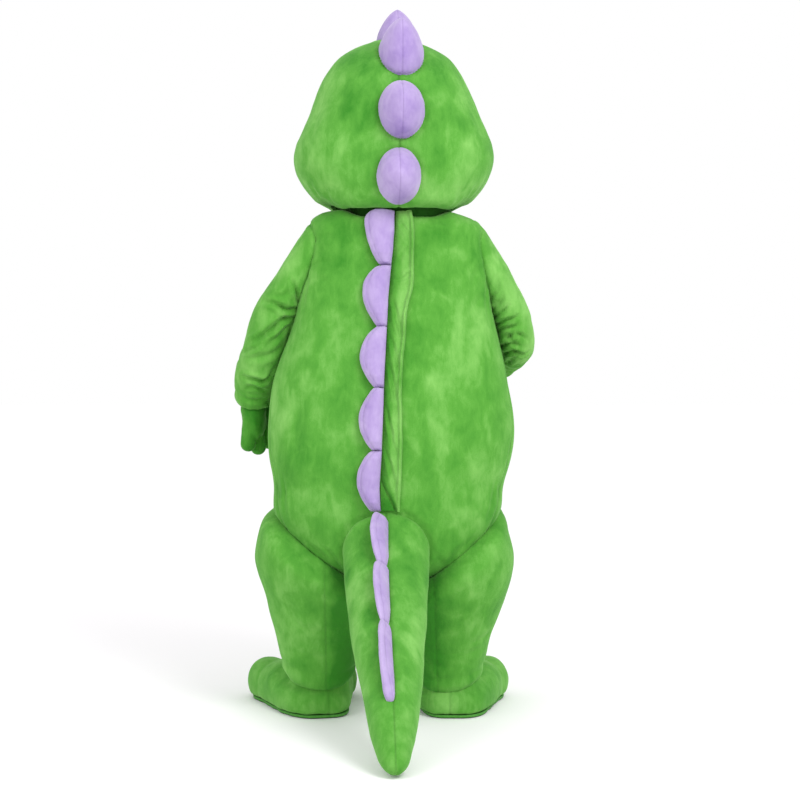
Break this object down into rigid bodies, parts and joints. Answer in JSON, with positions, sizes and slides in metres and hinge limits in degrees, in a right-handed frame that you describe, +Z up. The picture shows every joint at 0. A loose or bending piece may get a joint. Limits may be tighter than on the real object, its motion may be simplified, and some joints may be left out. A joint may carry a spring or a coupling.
{
  "type": "dinosaur mascot costume",
  "caption": "Full-body plush dinosaur costume, worn and hollow: big head with lavender spikes down its back and tail, sleeves, gloves, legs and padded foot covers.",
  "frame": {"origin": "midway between the wearer's shoulders, inside the suit, where the wearer holds it up", "axes": "+Z up, the costume faces +Y, +X is the wearer's right"},
  "size_m": [0.8181, 1.137, 1.9096],
  "materials": {
    "green_plush": "short-pile plush, brushed in patches",
    "lavender_plush": "short-pile plush",
    "dark_mesh": "fine see-through mesh",
    "eye_white": "smooth moulded plastic",
    "pupil_black": "gloss",
    "sole": "matt foam rubber"
  },
  "bodies": {
    "root": {"head_back_left": "green_plush", "head_back_right": "green_plush", "head_front": "green_plush", "collar": "green_plush", "body_front_left": "green_plush", "body_front_right": "green_plush", "body_back_left": "green_plush", "body_back_right": "green_plush", "placket": "green_plush", "underlap": "green_plush", "tail_left": "green_plush", "tail_right": "green_plush", "sleeve_left": "green_plush", "sleeve_right": "green_plush", "glove_left": "green_plush", "glove_right": "green_plush", "leg_left_outer": "green_plush", "leg_left_inner": "green_plush", "leg_right_outer": "green_plush", "leg_right_inner": "green_plush", "shoe_left_upper": "green_plush", "shoe_right_upper": "green_plush", "head_spike_1": "lavender_plush", "head_spike_2": "lavender_plush", "head_spike_3": "lavender_plush", "head_spike_4": "lavender_plush", "back_spike_1": "lavender_plush", "back_spike_2": "lavender_plush", "back_spike_3": "lavender_plush", "back_spike_4": "lavender_plush", "back_spike_5": "lavender_plush", "tail_spike_1": "lavender_plush", "tail_spike_2": "lavender_plush", "tail_spike_3": "lavender_plush", "mouth_mesh": "dark_mesh", "eye_left": "eye_white", "eye_right": "eye_white", "pupil_left": "pupil_black", "pupil_right": "pupil_black", "shoe_left_sole": "sole", "shoe_right_sole": "sole"}
  },
  "joints": []
}
